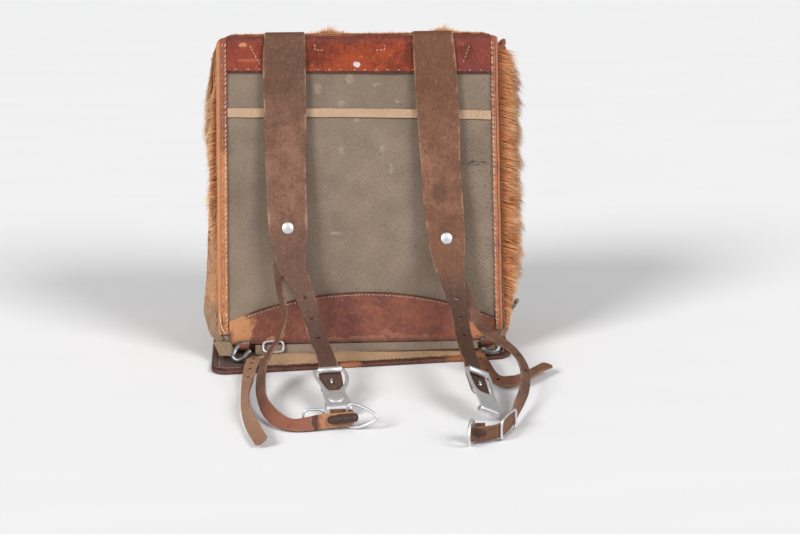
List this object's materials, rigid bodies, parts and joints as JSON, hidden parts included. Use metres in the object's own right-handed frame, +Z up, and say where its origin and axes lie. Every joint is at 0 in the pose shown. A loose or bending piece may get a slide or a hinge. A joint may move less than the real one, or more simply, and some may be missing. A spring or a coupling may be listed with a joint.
{
  "type": "military rucksack",
  "caption": "Upright canvas military rucksack with a fur-covered flap, leather bands, riveted leather shoulder straps and steel strap hooks.",
  "frame": {"origin": "middle of the pack's base, on the surface it stands on, under the flap's end", "axes": "+Z up; -Y towards the wearer's side with the straps; +X to the right as seen from the wearer's side"},
  "size_m": [0.4058, 0.4815, 0.3783],
  "materials": {
    "canvas": "woven, worn",
    "lining": "woven, worn",
    "tape": "woven tape",
    "red_leather": "glossy, scuffed",
    "tan_leather": "worn",
    "strap_leather": "matt, worn",
    "hide": "raw hide",
    "fur": "hair",
    "steel": "zinc plated",
    "dark_steel": "darkened"
  },
  "bodies": {
    "root": {"back_panel": "canvas", "side_gusset_left": "canvas", "side_gusset_right": "canvas", "bottom_gusset": "canvas", "top_gusset": "canvas", "top_band": "red_leather", "bottom_patch": "red_leather", "edge_binding_left": "tan_leather", "edge_binding_right": "tan_leather", "stripe_tape": "tape", "flap_hide": "hide", "flap_fur": "fur", "flap_end": "lining", "flap_end_binding": "tan_leather", "shoulder_strap_left": "strap_leather", "shoulder_strap_right": "strap_leather", "strap_hook_left": "steel", "hook_roller_left": "steel", "hook_stud_left": "steel", "strap_hook_right": "steel", "hook_roller_right": "steel", "hook_stud_right": "steel", "aux_strap_left": "strap_leather", "aux_strap_right": "strap_leather", "rivet_left": "steel", "rivet_right": "steel", "wire_loop_left": "steel", "wire_loop_right": "steel", "aux_buckle_left": "steel", "aux_buckle_right": "steel", "billet_left": "tan_leather", "billet_right": "strap_leather", "corner_hook_left": "dark_steel", "hook_tab_left": "red_leather", "corner_hook_right": "dark_steel", "hook_tab_right": "red_leather", "closing_buckle_left": "steel", "corner_tab_right": "red_leather"}
  },
  "joints": []
}
